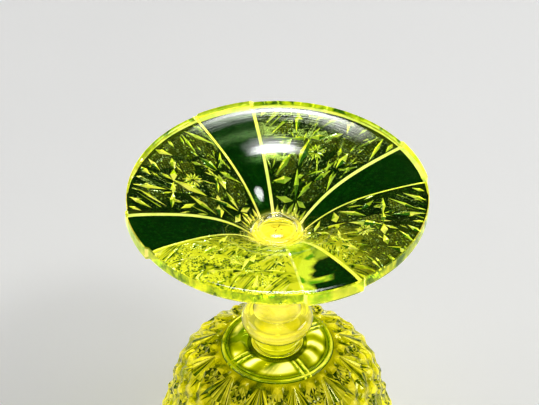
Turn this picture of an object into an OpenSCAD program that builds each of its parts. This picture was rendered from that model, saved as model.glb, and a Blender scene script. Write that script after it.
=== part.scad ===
// Footed dish in pressed and cut glass: a wide flared dish on a stem with a
// swelling knop, a ringed merese and a hollow domed foot. The pieces are solid
// glass, set on one another hot, and each joint is flat. Millimetres, +Z up,
// with the origin on the axis in the plane that the foot stands on.

/* [Overall] */
// Height from the table to the rim of the dish
overall_h = 160; // [150:1:175]

/* [Dish] */
// Diameter of the dish across its patterned rim
dish_d = 130; // [110:1:150]
// Fall of the upper face from the rim to the edge of the well
dish_fall = 20; // [16:1:24]
// Diameter of the small round well in the middle
well_d = 24; // [20:1:28]
// Depth of the well below its edge
well_deep = 1; // [0.5:0.25:2]
// Thickness of the flared wall, square to its face
wall_t = 6; // [4.5:0.5:7]
// Height of the edge band round the rim
rim_t = 7; // [6:0.5:9]
// Size of the bevel on both corners of the edge band
rim_bevel = 0.8; // [0.4:0.1:1.2]
// Diameter of the boss under the well
boss_d = 23; // [20:1:26]
// Depth of the boss's flat end below the rim
boss_drop = 34; // [33:1:38]

/* [Plain panels] */
// Number of plain panels round the dish
panels = 4; // [3:1:6]
// Angle that one panel covers
panel_angle = 22; // [14:1:30]
// Direction of the first panel, anticlockwise from +X
panel_turn = 21.5; // [0:0.5:45]
// Distance that a panel stands proud of the patterned wall
panel_proud = 1; // [0.5:0.1:1.5]

/* [Mitre cuts] */
// Width of a cut where it meets the face
cut_w = 2.4; // [1.5:0.1:3]
// Length of the cuts that cross in the inner star
inner_cut = 15; // [10:1:18]
// Length of the cuts that cross in the outer stars
outer_cut = 19; // [12:1:22]

/* [Stem and knop] */
// Diameter of the stem's ends
stem_d = 22; // [18:1:23]
// Diameter of the stem's waist
waist_d = 18; // [14:1:20]
// Diameter of the knop
knop_d = 32; // [26:1:38]
// Height of the knop
knop_h = 12; // [10:1:16]
// Diameter of the knop's flat ends
knop_end_d = 19; // [16:1:22]

/* [Merese] */
// Height of the ringed merese
merese_h = 9; // [7:1:12]
// Diameter of its lowest and widest ring
merese_d = 23.5; // [21:0.5:26]
// Number of rings
rings = 3; // [2:1:4]

/* [Foot] */
// Height of the domed foot
foot_h = 72; // [66:1:76]
// Diameter of the foot where it stands
foot_d = 120; // [112:1:130]
// Diameter of the flat crown that the merese stands on
crown_d = 27; // [26:1:30]
// Radius to the outside of the shoulder
shoulder_r = 47.5; // [44:0.5:50]
// Height of the rounded shoulder
shoulder_h = 28; // [24:1:32]
// Thickness of the foot's wall
foot_wall = 6; // [5:0.5:7]
// Number of plain petals in the rosette
petals = 4; // [3:1:6]
// Radius of the rosette
rosette_r = 25.5; // [22:0.5:30]
// Distance that a petal stands proud
petal_proud = 0.8; // [0.4:0.1:1.2]
// Number of knobs round the shoulder
knobs = 24; // [16:2:32]
// Diameter of a knob
knob_d = 7; // [5:0.5:8]

/* [Hidden] */
$fn = 96;

dish_r = dish_d / 2;
well_r = well_d / 2;
boss_r = boss_d / 2;
rim_z = overall_h;
boss_z = rim_z - boss_drop;
foot_r = foot_d / 2;
crown_r = crown_d / 2;
shoulder_end = 77.6;         // angle at which the shoulder turns into the straight, leaning side
merese_z = foot_h;
knop_z = merese_z + merese_h;
stem_z = knop_z + knop_h;
stem_h = boss_z - stem_z;
steps = 22;                  // straight pieces in a curved outline
yellow = [0.86, 0.92, 0.10, 0.75];
green = [0.62, 0.86, 0.08, 0.75];

// How far in from the rim a radius lies: 0 at the rim, 1 at the well's edge
function inward(r) = (dish_r - r) / (dish_r - well_r);
// Upper face of the dish: a gentle cone that steepens like a trumpet
function upper_z(r) = rim_z - dish_fall * (0.4 * inward(r) + 0.6 * pow(inward(r), 4));
// Steepness of the upper face
function steepness(r) = dish_fall / (dish_r - well_r) * (0.4 + 2.4 * pow(inward(r), 3));
// Thickness of the wall square to its face, a little more towards the rim
function wall_at(r) = wall_t + (rim_t - wall_t) * pow(r / dish_r, 6);
// Under face of the dish
function under_z(r) = upper_z(r) - wall_at(r) * sqrt(1 + pow(steepness(r), 2));
// Radii from one value to another in equal steps
function radii(a, b) = [for (i = [0:steps]) a + (b - a) * i / steps];

// One closed half outline of the dish's wall, from the axis to the rim
module wall_outline() {
    polygon(concat(
        [[0, upper_z(well_r) - well_deep], [well_r - well_deep, upper_z(well_r) - well_deep]],
        [for (r = radii(well_r, dish_r - rim_bevel)) [r, upper_z(r)]],
        [[dish_r, rim_z - rim_bevel], [dish_r, rim_z - rim_t + rim_bevel]],
        [for (r = radii(dish_r - rim_bevel, boss_r)) [r, under_z(r)]],
        [[boss_r, boss_z], [0, boss_z]]));
}

// Half outline of the extra glass that a plain panel adds under and outside the wall
module panel_outline() {
    out_r = dish_r + panel_proud;
    polygon(concat(
        [for (r = radii(boss_r - 1, dish_r - 2)) [r, upper_z(r) - wall_t / 2]],
        [[dish_r - 2, rim_z - rim_bevel], [out_r - rim_bevel, rim_z - rim_bevel]],
        [[out_r, rim_z - 2 * rim_bevel], [out_r, rim_z - rim_t - panel_proud + rim_bevel]],
        [for (r = radii(dish_r, boss_r - 1)) [r, under_z(r) - panel_proud]]));
}

// A straight mitre cut, centred on the under face and turned by dir from the radius
module mitre_cut(r, around, dir, long) {
    rotate([0, 0, around])
        translate([r, 0, under_z(r)])
            rotate([0, -atan(steepness(r)), 0])
                rotate([0, 0, dir])
                    rotate([45, 0, 0])
                        cube([long, cut_w / sqrt(2), cut_w / sqrt(2)], center = true);
}

// Cuts that cross in one point and make a star of eight rays
module star(r, around, long) {
    for (dir = [22.5:45:157.5]) mitre_cut(r, around, dir, long);
}

// The wide flared dish, with plain panels between its cut sectors
module dish() {
    sector = 360 / panels;
    color(green)
        difference() {
            union() {
                rotate_extrude() wall_outline();
                for (i = [0:panels - 1])
                    rotate([0, 0, panel_turn + sector * i - panel_angle / 2])
                        rotate_extrude(angle = panel_angle) panel_outline();
            }
            for (i = [0:panels - 1]) {
                middle = panel_turn + sector * (i + 0.5);
                star(well_r + 9, middle, inner_cut);
                for (side = [-1, 1]) star(dish_r - 18.5, middle + 14 * side, outer_cut);
            }
        }
}

// The solid stem, waisted between its flat ends
module stem() {
    color(yellow)
        rotate_extrude()
            polygon(concat(
                [[0, stem_z]],
                [for (i = [0:steps])
                    [stem_d / 2 - (stem_d - waist_d) / 2 * sin(180 * i / steps), stem_z + stem_h * i / steps]],
                [[0, boss_z]]));
}

// The flattened, swelling knop
module knop() {
    swell = (knop_d - knop_end_d) / 2;
    color(yellow)
        rotate_extrude()
            polygon(concat(
                [[0, knop_z]],
                [for (i = [0:steps])
                    [knop_end_d / 2 + swell * sin(180 * i / steps),
                     knop_z + knop_h / 2 * (1 - cos(180 * i / steps))]],
                [[0, knop_z + knop_h]]));
}

// The merese: a short neck of rounded rings, each wider than the one above
module merese() {
    ring_h = merese_h / rings;
    growth = (merese_d - knop_end_d) / 2 / rings;
    color(yellow)
        union() {
            translate([0, 0, merese_z]) cylinder(h = merese_h, d = knop_end_d);
            for (i = [0:rings - 1]) {
                ring_r = merese_d / 2 - growth * i;
                translate([0, 0, merese_z + ring_h * i])
                    rotate_extrude()
                        intersection() {
                            square([ring_r, ring_h]);
                            union() {
                                square([ring_r - ring_h / 2, ring_h]);
                                translate([ring_r - ring_h / 2, ring_h / 2]) circle(d = ring_h, $fn = 32);
                            }
                        }
            }
        }
}

// Outline of a dome whose shoulder is drawn in by inset, from its crown to the table
function dome(inset) = concat(
    [for (i = [0:steps]) let (t = shoulder_end * i / steps)
        [crown_r + (shoulder_r - crown_r - inset) * sin(t),
         foot_h - shoulder_h + (shoulder_h - inset) * cos(t)]],
    [[foot_r - inset, 0]]);
// Height of the outer shoulder at a radius
function shoulder_z(r) =
    foot_h - shoulder_h + shoulder_h * sqrt(1 - pow((r - crown_r) / (shoulder_r - crown_r), 2));

// One plain petal of the rosette round the merese
module petal() {
    gap = 4;                 // angle left open between two petals
    inner = crown_r + 0.5;
    rotate_extrude(angle = 360 / petals - gap)
        polygon(concat(
            [[inner, shoulder_z(inner) - 1]],
            [[inner, shoulder_z(inner)]],
            [for (i = [1:7]) let (r = inner + (rosette_r - inner) * i / 8)
                [r, shoulder_z(r) + petal_proud * sin(180 * i / 8)]],
            [[rosette_r, shoulder_z(rosette_r)], [rosette_r, shoulder_z(rosette_r) - 1]]));
}

// The hollow domed foot, with its rosette and a ring of knobs on the shoulder
module foot() {
    knob_r = shoulder_r - knob_d;
    color(green)
        union() {
            rotate_extrude()
                difference() {
                    polygon(concat([[0, 0], [0, foot_h]], dome(0)));
                    polygon(concat([[-1, -1], [-1, foot_h - foot_wall]], dome(foot_wall), [[foot_r - foot_wall, -1]]));
                }
            for (i = [0:petals - 1]) rotate([0, 0, 360 / petals * i + 35]) petal();
            for (i = [0:knobs - 1])
                rotate([0, 0, 360 / knobs * i])
                    translate([knob_r, 0, shoulder_z(knob_r) - 1]) sphere(d = knob_d);
        }
}

dish();
stem();
knop();
merese();
foot();
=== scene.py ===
"""Looks of the footed uranium glass dish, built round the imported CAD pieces.

Lengths in the geometry code are millimetres, in the frame of the CAD part: the origin is on the axis, in
the plane that the foot stands on, and +Z is up. They become metres when a mesh is made.
"""

import bpy
import bmesh
import math
import random
import numpy as np
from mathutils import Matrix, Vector
from mathutils.geometry import delaunay_2d_cdt


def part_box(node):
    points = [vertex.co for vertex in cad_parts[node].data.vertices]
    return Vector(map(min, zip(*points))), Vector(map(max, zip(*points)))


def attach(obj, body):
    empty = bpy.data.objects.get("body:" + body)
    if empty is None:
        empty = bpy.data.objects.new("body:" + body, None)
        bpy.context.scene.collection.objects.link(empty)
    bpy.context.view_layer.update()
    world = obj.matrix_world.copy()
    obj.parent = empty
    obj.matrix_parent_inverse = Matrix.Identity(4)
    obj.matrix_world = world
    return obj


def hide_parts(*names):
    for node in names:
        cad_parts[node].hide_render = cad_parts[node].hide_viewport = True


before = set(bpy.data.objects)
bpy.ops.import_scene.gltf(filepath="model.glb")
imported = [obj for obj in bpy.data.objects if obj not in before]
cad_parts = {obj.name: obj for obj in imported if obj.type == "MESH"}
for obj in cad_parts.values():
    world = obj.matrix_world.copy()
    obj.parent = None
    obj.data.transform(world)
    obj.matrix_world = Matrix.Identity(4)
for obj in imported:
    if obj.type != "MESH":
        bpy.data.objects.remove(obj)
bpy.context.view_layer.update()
MM = 0.001
scene = bpy.context.scene


# ---------------- sizes, worked out from the frame
def box_mm(node):
    """Lowest and highest corner of a CAD node, in millimetres."""
    low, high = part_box(node)
    return [v / MM for v in low], [v / MM for v in high]


DISH_LOW, DISH_HIGH = box_mm("dish")
STEM_LOW, STEM_HIGH = box_mm("stem")
KNOP_LOW, KNOP_HIGH = box_mm("knop")
MERESE_LOW, MERESE_HIGH = box_mm("merese")

RIM_Z = DISH_HIGH[2]
DISH_R = DISH_HIGH[0]
WELL_R = 0.185 * DISH_R
DISH_FALL = 0.308 * DISH_R
WALL = 6.0                       # thickness of the flared wall
RIM_T = 7.0                      # height of the edge band
LIP_START = 57.0                 # the upper face flattens from here to the rim
LIP_TURN = 0.125                 # change of slope across the lip
FACE_END = DISH_R - 2.2          # the smooth upper face ends here
CREST_R = DISH_R - 1.9           # the narrow band between the lip and the bevel starts here
BAND_LEANS = (3.2, 4.2, 5.2)     # outward lean, in degrees, of the band's three strips
BAND_PROUD = 0.4                 # how far the panels stand proud where the band starts
EDGE_BEVEL = 0.45                # bevel on the top corner of the edge band
BEVEL_STEPS = ((0.3, 0.05), (0.1, 0.45), (0, 0.7))    # inset from the rim, and fall from the band
CORNER_STEPS = ((0, 1.5), (0.1, 1.0), (0.35, 0.5))    # inset from the rim, and height over the wall's foot
BOSS_R = 0.177 * DISH_R
PANELS = 4
PANEL_HALF = math.radians(11)    # half the angle of a plain panel
PANEL_TURN = math.radians(21.5)  # where the first panel's middle lies
PROUD = 1.0                      # how far the panels stand proud
STEP_W = 1.3                     # width of the sloping step at a panel's side
INNER_R = 13.3                   # the cut pattern runs from here
OUTER_R = DISH_R - 0.8           # to here

# Every kind of face, in the order of the material slots
KINDS = ("upper", "panel", "ground", "cut", "hatch", "edge", "rim", "panel_rim", "bevel", "petal", "inside")


# ---------------- small helpers
def unit(value):
    """The value, kept between 0 and 1."""
    return np.clip(value, 0, 1)


def hump(value, middle, half):
    """A rounded ridge, 1 high at its middle and 0 from half its width on."""
    return np.clip(1 - ((value - middle) / half) ** 2, 0, None)


def circle(r, angles, z):
    """Points round the axis, one per angle."""
    return np.stack(np.broadcast_arrays(r * np.cos(angles), r * np.sin(angles), z), axis=-1)


def at_angle(r, angle):
    return r * math.cos(angle), r * math.sin(angle)


def polar(r, degrees):
    return at_angle(r, math.radians(degrees))


# ---------------- shape of the dish's faces
def inward(r):
    """Share of the way from the rim to the well."""
    return (DISH_R - r) / (DISH_R - WELL_R)


def upper_z(r):
    """Upper face: a gentle cone that steepens like a trumpet."""
    s = inward(r)
    return RIM_Z - DISH_FALL * (0.4 * s + 0.6 * s ** 4)


def lip_drop(r):
    """How far the flattened lip of the upper face lies below the cone."""
    out = np.clip(r - LIP_START, 0, None)
    return LIP_TURN * out ** 2 / (2 * (DISH_R - LIP_START))


def steepness(r):
    """Slope of the upper face."""
    return DISH_FALL / (DISH_R - WELL_R) * (0.4 + 2.4 * inward(r) ** 3)


def under_z(r):
    """Under face, the wall's thickness below the upper one."""
    wall = WALL + (RIM_T - WALL) * (r / DISH_R) ** 6
    return upper_z(r) - wall * np.sqrt(1 + steepness(r) ** 2)


def under_point(x, y, into):
    """Point of the under face over (x, y), moved a depth into the glass."""
    r = np.hypot(x, y)
    slope = steepness(r)
    lean = np.sqrt(1 + slope ** 2)
    scale = (r - into * slope / lean) / np.maximum(r, 1e-9)
    return np.stack([x * scale, y * scale, under_z(r) + into / lean], axis=-1)


# ---------------- drawings of cuts on a flat face
ON_LINE = 0.015                  # a point this close to a cut's outline counts as on it
SPARE_GAP = 0.5                  # spare points lie at least this far from every line
SHORTEST_LINE = 0.25             # shorter grooves are left out


class Drawing:
    """Cuts and hatched fields drawn on a flat face, later laid on a curved one."""

    def __init__(self, outline):
        self.outline = [tuple(p) for p in outline]
        self.cuts = []
        self.fields = []

    def cut(self, start, end, width, widest=0.5, steep=0.62):
        """A mitre cut, pointed at both ends; steep is its depth over its half width."""
        start, end = np.array(start, float), np.array(end, float)
        along = end - start
        long = np.hypot(*along)
        along = along / long
        self.cuts.append({"start": start, "along": along, "across": np.array([-along[1], along[0]]),
                          "long": long, "half": width / 2, "widest": widest, "deep": steep * width / 2})

    def field(self, corners, pitch, deep, turn, crossed=True):
        """A convex field of fine ribs, or of pyramids where they are crossed."""
        corners = np.array(corners, float)
        x, y = corners[:, 0], corners[:, 1]
        if np.sum(x * np.roll(y, -1) - y * np.roll(x, -1)) < 0:
            corners = corners[::-1]
        turns = [turn, turn + math.pi / 2] if crossed else [turn]
        self.fields.append({"corners": corners, "pitch": pitch, "deep": deep,
                            "dirs": [np.array([math.cos(t), math.sin(t)]) for t in turns]})

    @staticmethod
    def edge_distances(field, xy):
        corners = field["corners"]
        sides = np.roll(corners, -1, axis=0) - corners
        lengths = np.hypot(sides[:, 0], sides[:, 1])
        normals = np.stack([-sides[:, 1], sides[:, 0]], axis=1) / lengths[:, None]
        return (xy @ normals.T - np.sum(corners * normals, axis=1)).min(axis=1)

    @staticmethod
    def cut_depth(cut, xy):
        """Depth of one cut, and which points are in it or on its outline."""
        rel = xy - cut["start"]
        t = (rel @ cut["along"]) / cut["long"]
        off = np.abs(rel @ cut["across"])
        grow = np.clip(np.minimum(t / cut["widest"], (1 - t) / (1 - cut["widest"])), 0, None)
        share = 1 - off / np.maximum(cut["half"] * grow, 1e-9)
        on = (off <= cut["half"] * grow + ON_LINE) & (t > -0.001) & (t < 1.001)
        return cut["deep"] * grow * np.clip(share, 0, None), on

    def field_depth(self, field, xy):
        inside = self.edge_distances(field, xy)
        deepest = np.zeros(len(xy))
        for way in field["dirs"]:
            phase = (xy @ way) / field["pitch"]
            deepest = np.maximum(deepest, 1 - 2 * np.abs(phase - np.floor(phase) - 0.5))
        return field["deep"] * deepest * unit(2 * inside / field["pitch"])

    def depth(self, xy):
        """Depth of the cuts at points of the drawing; a cut takes away whatever field it crosses."""
        deep = np.zeros(len(xy))
        for field in self.fields:
            deep = np.maximum(deep, self.field_depth(field, xy))
        in_cut = np.zeros(len(xy), bool)
        cut_deep = np.zeros(len(xy))
        for cut in self.cuts:
            here, on = self.cut_depth(cut, xy)
            in_cut |= on
            cut_deep = np.maximum(cut_deep, here)
        return np.where(in_cut, cut_deep, deep)

    def kinds_and_values(self, xy):
        """What each face is, told by its centre, and a random value for each facet, which sets its painted
        light and shade.
        """
        rng = np.random.default_rng(5)
        kinds = np.full(len(xy), "ground", dtype=object)
        values = rng.uniform(0, 1, len(xy))
        for field in self.fields:
            kinds[self.edge_distances(field, xy) > 0] = "hatch"
        deepest = np.zeros(len(xy))
        for cut in self.cuts:
            here = self.cut_depth(cut, xy)[0]
            facet_values = rng.uniform(0, 1, 4)
            rel = xy - cut["start"]
            side = (rel @ cut["across"] > 0).astype(int)
            end = (rel @ cut["along"] > cut["widest"] * cut["long"]).astype(int)
            chosen = (here > 1e-6) & (here >= deepest)
            kinds[chosen] = "cut"
            values[chosen] = facet_values[(2 * side + end)[chosen]]
            deepest = np.maximum(deepest, here)
        return list(kinds), list(values)

    def cut_lines(self, cut):
        """Outline and keel of a cut as point pairs."""
        start, along, across = cut["start"], cut["along"], cut["across"]
        end = start + along * cut["long"]
        middle = start + along * cut["long"] * cut["widest"]
        left, right = middle + across * cut["half"], middle - across * cut["half"]
        return [(start, left), (left, end), (end, right), (right, start), (start, middle), (middle, end),
                (left, middle), (middle, right)]

    def field_lines(self, field):
        """Outline, grooves and ridges of a field, clipped to it, and the pyramids' tips."""
        corners, pitch = field["corners"], field["pitch"]
        lines = [(corners[i], corners[(i + 1) % len(corners)]) for i in range(len(corners))]
        crossed = len(field["dirs"]) > 1
        for way in field["dirs"]:
            along = np.array([-way[1], way[0]])
            reach = corners @ way / pitch
            first, last = math.ceil(reach.min() * 2), math.floor(reach.max() * 2)
            for half_step in range(first, last + 1):
                if crossed and half_step % 2:
                    continue
                clipped = clip_line(corners, way * half_step * pitch / 2, along)
                if clipped:
                    lines.append(clipped)
        tips = []
        if crossed:
            a, b = field["dirs"]
            ra, rb = corners @ a / pitch, corners @ b / pitch
            for i in range(math.floor(ra.min()), math.ceil(ra.max())):
                for j in range(math.floor(rb.min()), math.ceil(rb.max())):
                    tips.append((a * (i + 0.5) + b * (j + 0.5)) * pitch)
            tips = np.array(tips)
            tips = list(tips[self.edge_distances(field, tips) > 0.3 * pitch])
        return lines, tips

    def triangulate(self, spare):
        """Triangles that keep every line of the drawing: points, faces, kinds and values."""
        points = list(self.outline)
        count = len(points)
        edges = [(i, (i + 1) % count) for i in range(count)]
        segments, tips = [], []
        for cut in self.cuts:
            segments += self.cut_lines(cut)
        for field in self.fields:
            lines, peaks = self.field_lines(field)
            segments += lines
            tips += peaks
        for a, b in segments:
            edges.append((len(points), len(points) + 1))
            points += [tuple(a), tuple(b)]
        points += [tuple(p) for p in tips]
        spare = np.array(spare)
        clear = np.ones(len(spare), bool)
        for a, b in segments:
            clear &= distance_to(spare, np.array(a), np.array(b)) > SPARE_GAP
        points += [tuple(p) for p in spare[clear]]
        found = delaunay_2d_cdt([Vector(p) for p in points], edges, [], 1, 1e-4)
        xy = np.array([tuple(v) for v in found[0]])
        faces = [tuple(f) for f in found[2]]
        centres = np.array([xy[list(f)].mean(axis=0) for f in faces])
        kinds, values = self.kinds_and_values(centres)
        return xy, faces, kinds, values


def clip_line(corners, point, along):
    """The stretch of an endless line that lies in a convex outline."""
    low, high = -1e9, 1e9
    for i in range(len(corners)):
        side = corners[(i + 1) % len(corners)] - corners[i]
        normal = np.array([-side[1], side[0]])
        gap = normal @ (corners[i] - point)
        pace = normal @ along
        if abs(pace) < 1e-12:
            if gap > 0:
                return None
        elif pace > 0:
            low = max(low, gap / pace)
        else:
            high = min(high, gap / pace)
    if high - low < SHORTEST_LINE:
        return None
    return point + along * low, point + along * high


def distance_to(points, a, b):
    """Distance of points from a straight piece of line."""
    along = b - a
    t = unit(((points - a) @ along) / max(along @ along, 1e-12))
    off = points - a - t[:, None] * along
    return np.hypot(off[:, 0], off[:, 1])


# ---------------- closed glass shells
class Shell:
    """Collects vertices, faces and the kind of each face, and makes one closed mesh."""

    def __init__(self):
        self.points = []
        self.faces = []
        self.kinds = []
        self.values = []

    def add(self, points):
        first = len(self.points)
        self.points += [tuple(p) for p in points]
        return first

    def grid(self, rows, kind, closed=True, flip=False, values=None):
        """Quads between neighbouring rows; kind is one name or one per column, values one list per row."""
        starts = [self.add(row) for row in rows]
        wide = len(rows[0])
        columns = range(wide) if closed else range(wide - 1)
        for row, (low, high) in enumerate(zip(starts[:-1], starts[1:])):
            for i in columns:
                j = (i + 1) % wide
                face = (low + i, low + j, high + j, high + i)
                self.faces.append(face[::-1] if flip else face)
                self.kinds.append(kind if isinstance(kind, str) else kind[i])
                self.values.append(0.5 if values is None else float(values[row][i]))

    def cap(self, ring, centre, kind, flip=False):
        first = self.add(ring)
        tip = self.add([centre])
        for i in range(len(ring)):
            face = (first + i, first + (i + 1) % len(ring), tip)
            self.faces.append(face[::-1] if flip else face)
            self.kinds.append(kind)
            self.values.append(0.5)

    def patch(self, points, faces, kinds, values, shift):
        """Faces of a drawing; shift moves the values of all but the ground, so that copies of it differ."""
        first = self.add(points)
        self.faces += [tuple(first + i for i in face) for face in faces]
        self.kinds += kinds
        for kind, value in zip(kinds, values):
            self.values.append(value if kind == "ground" else (value + shift) % 1.0)

    def build(self, name, materials, sharp=20):
        """The mesh object, in metres, with the value of each facet, which sets its painted light and shade,
        as an attribute.
        """
        mesh = bpy.data.meshes.new(name)
        scaled = [(x * MM, y * MM, z * MM) for x, y, z in self.points]
        mesh.from_pydata(scaled, [], self.faces)
        slots = [k for k in KINDS if k in materials]
        for kind in slots:
            mesh.materials.append(materials[kind])
        mesh.polygons.foreach_set("material_index", [slots.index(k) for k in self.kinds])
        mesh.attributes.new("facet", "FLOAT", "FACE").data.foreach_set("value", self.values)
        work = bmesh.new()
        work.from_mesh(mesh)
        bmesh.ops.remove_doubles(work, verts=work.verts, dist=2e-7)
        bmesh.ops.dissolve_degenerate(work, edges=work.edges, dist=1e-8)
        bmesh.ops.recalc_face_normals(work, faces=work.faces)
        work.to_mesh(mesh)
        work.free()
        mesh.shade_smooth()
        mesh.set_sharp_from_angle(angle=math.radians(sharp))
        piece = bpy.data.objects.new(name, mesh)
        scene.collection.objects.link(piece)
        return piece


# ---------------- the dish
SECTOR_HALF = math.pi / PANELS - PANEL_HALF
PANEL_COLUMNS = 12
SECTOR_COLUMNS = 68
ROW_RADII = np.linspace(INNER_R, OUTER_R, 53)


def side_angle(r):
    """Half the angle of a patterned sector, less the sloping step at its side."""
    return SECTOR_HALF - np.arcsin(STEP_W / r)


def ring_angles(r):
    """Angles of one ring's vertices: per quarter, a panel and then a patterned sector."""
    angles = []
    for i in range(PANELS):
        middle = PANEL_TURN + 2 * math.pi / PANELS * i
        angles += list(middle + np.linspace(-PANEL_HALF, PANEL_HALF, PANEL_COLUMNS + 1))
        half = side_angle(r)
        centre = middle + math.pi / PANELS
        angles += list(centre + np.linspace(-half, half, SECTOR_COLUMNS + 1))
    return np.array(angles)


IS_PANEL = np.array(([True] * (PANEL_COLUMNS + 1) + [False] * (SECTOR_COLUMNS + 1)) * PANELS)


def column_kinds(panel, step, sector):
    """Kind of the face right of each column, in every quarter."""
    return ([panel] * PANEL_COLUMNS + [step] + [sector] * SECTOR_COLUMNS + [step]) * PANELS


def dish_ring(r, z, proud=0.0, drop=0.0):
    """A ring of the dish. Panels lie proud mm further out and drop mm lower."""
    angles = ring_angles(r)
    radius = np.where(IS_PANEL, r + proud, r)
    height = np.where(IS_PANEL, z - drop, z)
    return circle(radius, angles, height)


# Mitre cuts of one sector: radius and angle from the sector's middle at both ends, width, and widest place
CUTS = [
    # the inner star
    ((20.6, -1), (32, 7), 2.3, 0.4), ((20.8, -3.5), (28.5, -10.5), 2.3, 0.5),
    ((20, -4), (19, -22), 1.9, 0.45), ((19.4, -4), (14.2, -14), 2.0, 0.4),
    ((19, -1), (13.9, 6), 2.2, 0.5), ((19.6, 1), (20.6, 26), 2.2, 0.45),
    # the collar of short kites round the well
    ((18.4, -25), (13.9, -25), 2.3, 0.6), ((17.6, -15.5), (13.9, -17), 1.9, 0.6),
    ((18.2, 12), (13.9, 13.5), 2.2, 0.6), ((18.0, 23), (13.9, 24), 2.2, 0.6),
    ((17.2, -6.5), (13.9, -5), 1.9, 0.6),
    # from the inner star to its neighbours
    ((27.5, 9.5), (26, 28), 3.2, 0.4), ((29.8, -0.5), (28, 5.5), 1.9, 0.5),
    ((34.9, -15), (30, -3), 1.4, 0.5), ((35.8, -18.5), (28.8, -12), 2.9, 0.5),
    # the side star
    ((36.3, -21), (27.7, -31), 2.3, 0.3), ((37.5, -20.6), (47, -19), 3.6, 0.5),
    ((40.4, -16.4), (35.6, -14), 1.4, 0.5), ((47.8, -13), (43, -15.5), 1.9, 0.5),
    ((44.4, -31), (37.4, -23.5), 1.6, 0.5), ((38, -22), (40.5, -30), 1.3, 0.5),
    # kites across the middle of the sector
    ((48.5, 5), (32.8, 7), 4.2, 0.55), ((50.9, -2.5), (47.8, 6), 3.2, 0.45),
    ((55.3, -8.8), (50.4, -2.5), 2.7, 0.4), ((47.8, 6.5), (46, 16), 2.2, 0.5),
    ((46.2, 14), (46, 28), 2.4, 0.5), ((39.3, 13), (27.6, 26), 2.6, 0.45),
    ((36.5, 20), (42.3, 27.5), 2.6, 0.5), ((55, 3), (48.4, 5), 1.7, 0.5),
    # flutes that run out to the rim
    ((63.7, 14.6), (48.8, 13.4), 2.6, 0.4), ((60.8, 17), (48, 27), 1.5, 0.4),
    ((63.6, 22.5), (54.5, 29), 2.3, 0.35), ((63.8, 28), (59, 31), 1.9, 0.4),
    ((63.6, 3.5), (58, 6.5), 2.3, 0.35), ((63, -2.4), (55.2, 2.2), 2.1, 0.4),
    ((63.7, -8.6), (55.7, -10.3), 3.2, 0.3), ((62, -23), (49.8, -19.8), 1.5, 0.4),
    ((62.9, -25), (49, -31.8), 2.0, 0.4), ((63.6, -30), (58, -32.5), 2.3, 0.35),
    ((63, -16), (58.5, -15), 1.7, 0.4), ((63.4, 9.5), (59.5, 9.5), 1.6, 0.4),
]
# Fields of one sector: corners in the same way, turn of the grooves in degrees, and crossed or not
FIELDS = [
    (((48, 6), (46.3, 15), (39.5, 13), (34, 8)), 35, True),
    (((46, 15), (46, 28), (33, 27.5), (37, 18)), 90, False),
    (((39, 13.5), (33, 8), (28.5, 7), (26.8, 26), (28.5, 27)), 60, True),
    (((26.5, 10), (27.8, 7.5), (21, -1), (20.8, 25), (25.5, 27)), 80, False),
    (((41, 6), (42, -6), (38, -13), (33, -4), (33, 6)), 90, False),
    (((48, 4), (50, -3), (54, -8.5), (46, -14), (42, -6), (41.5, 5)), 45, True),
    (((38, -12), (46, -14), (47, -18.5), (37, -19.5), (34.5, -14)), 30, True),
    (((47, -20), (53, -30.5), (48, -32.5), (38.5, -22)), 55, True),
    (((36.5, -23), (42.5, -32), (28.5, -31.5)), 20, False),
    (((35, -19.5), (29, -12.5), (21, -5), (20, -22), (27.2, -30)), 65, True),
    (((33, 4), (35, -13), (29.5, -11.5), (26, -6), (28, 3)), 40, True),
    (((63.5, 22), (61, 17), (48.5, 27), (54, 29)), 75, False),
    (((61, 16), (49.5, 14.5), (47, 27)), 25, True),
    (((63.3, 13.8), (50, 12.5), (48.8, 6), (55.5, 3.6), (63.3, 4.5)), 85, False),
    (((62.8, 2), (55.5, 1.8), (51.3, -2), (55.6, -8.3), (62.8, -7.5)), 45, True),
    (((62.9, -10), (56, -9.5), (48, -13), (48, -19.3), (62, -22)), 70, True),
    (((62.5, -24), (51, -20.5), (50, -30.5)), 50, True),
    (((63, -26), (63, -30), (57, -32.3), (51, -31.8)), 80, False),
    (((19.2, 4), (14.2, 7), (14.5, 27), (20, 25)), 85, False),
    (((18.8, -6), (14.2, -14), (14.5, -26), (18.8, -23)), 80, False),
]
PITCH = 1.2                      # of the grooves in the fields
RIB_DEEP = 0.36
SLIVERS = 34                     # short fine cuts scattered among the others
SLIVER_RADII, SLIVER_ANGLES, SLIVER_LEANS = (30, 60), (-30, 30), (-40, 40)
SLIVER_LONG, SLIVER_WIDE = (3.0, 6.5), (0.7, 1.2)
ROSETTE = (41.3, -1.2)           # place of a small star of fine cuts
ROSETTE_RAYS = 14
ROSETTE_HOLE, ROSETTE_R = 0.6, 4.4
MESH_STEP = 1.9                  # spacing of the spare points between the cuts
SIDE_MARGIN, RIM_MARGIN = 0.5, 0.6
SECTOR_SHIFT = 0.31              # of the facets' values, from one sector to the next


def sector_outline():
    """Outline of a sector, with the same points as the rings and rows it joins."""
    def arc(r):
        half = side_angle(r)
        return [at_angle(r, a) for a in np.linspace(-half, half, SECTOR_COLUMNS + 1)]

    def side(sign):
        return [at_angle(r, sign * side_angle(r)) for r in ROW_RADII[1:-1]]

    return arc(OUTER_R) + side(1)[::-1] + arc(INNER_R)[::-1] + side(-1)


def held_in(place):
    """A place in a sector, kept clear of the sector's sides and ends."""
    r, degrees = place
    r = min(max(r, INNER_R + SIDE_MARGIN), OUTER_R - RIM_MARGIN)
    limit = math.degrees(side_angle(r)) - math.degrees(SIDE_MARGIN / r)
    return polar(r, min(max(degrees, -limit), limit))


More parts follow.
